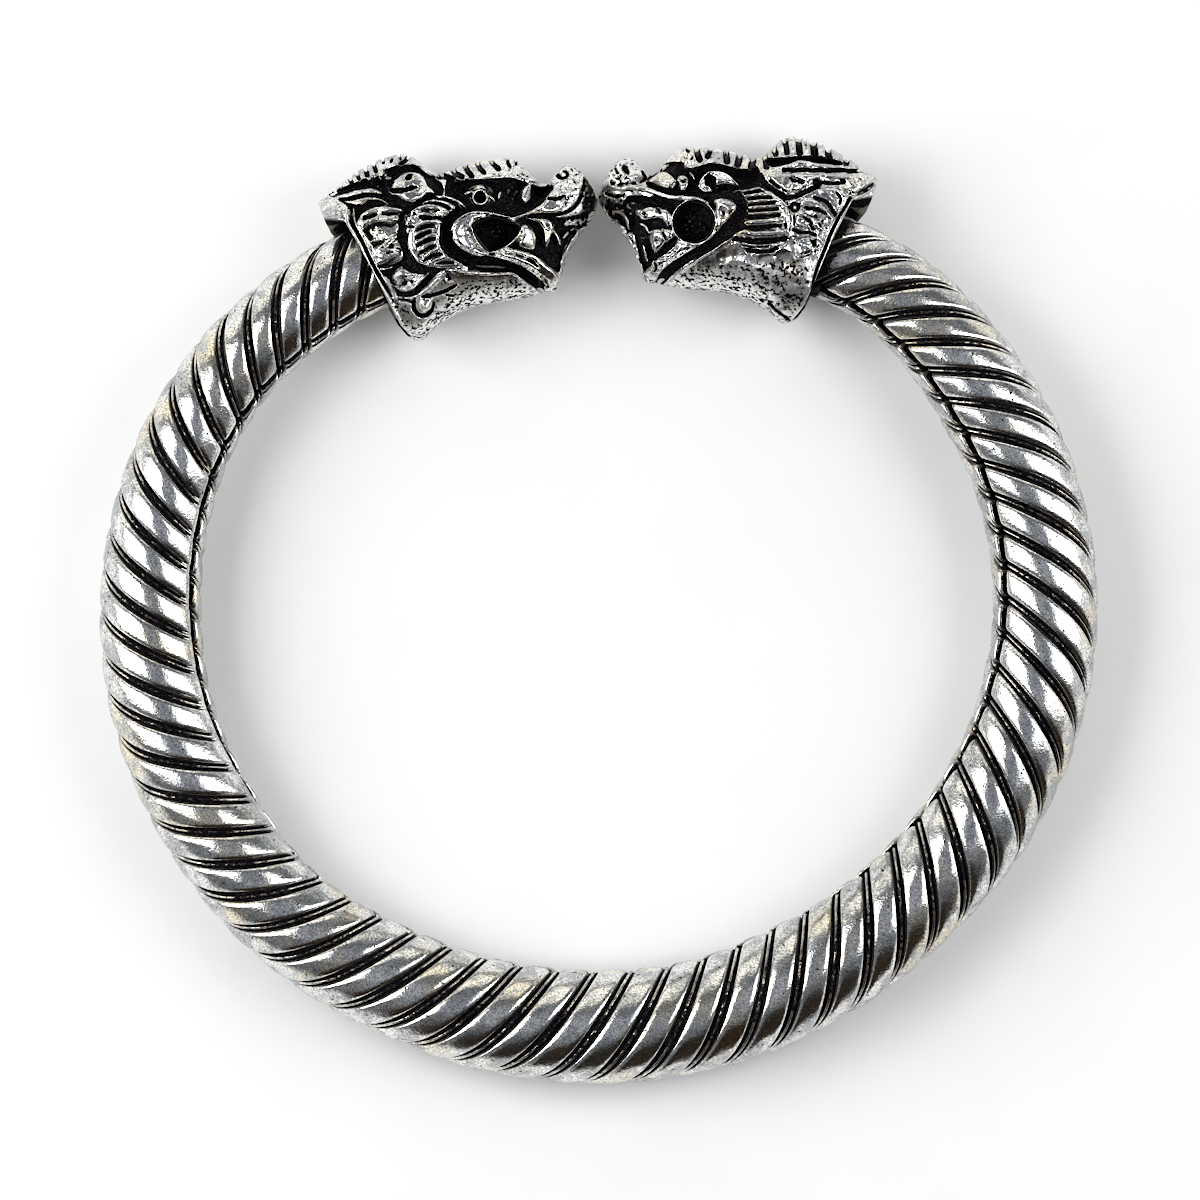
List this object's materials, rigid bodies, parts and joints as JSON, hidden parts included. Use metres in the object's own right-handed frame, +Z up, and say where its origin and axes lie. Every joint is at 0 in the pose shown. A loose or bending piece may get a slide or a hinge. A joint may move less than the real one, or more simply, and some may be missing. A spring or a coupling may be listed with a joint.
{
  "type": "open cuff bracelet",
  "caption": "Rigid open cuff bracelet: a hollow rolled tube with slanted rope grooves and a seam slit, ending in two cast dragon heads that nearly meet.",
  "frame": {"origin": "under the middle of the whole bracelet, on the surface that it lies on", "axes": "+Z up, across the plane of the ring; +Y towards the gap between the heads; +X to the right with the gap at the far side"},
  "size_m": [0.0798, 0.0758, 0.0122],
  "materials": {
    "rolled_silver": "antique silver plate, polished strands, blackened grooves",
    "cast_silver": "antique silver plated casting, blackened recesses, pitted chin"
  },
  "bodies": {
    "root": {"band": "rolled_silver", "head_left": "cast_silver", "head_right": "cast_silver"}
  },
  "joints": []
}
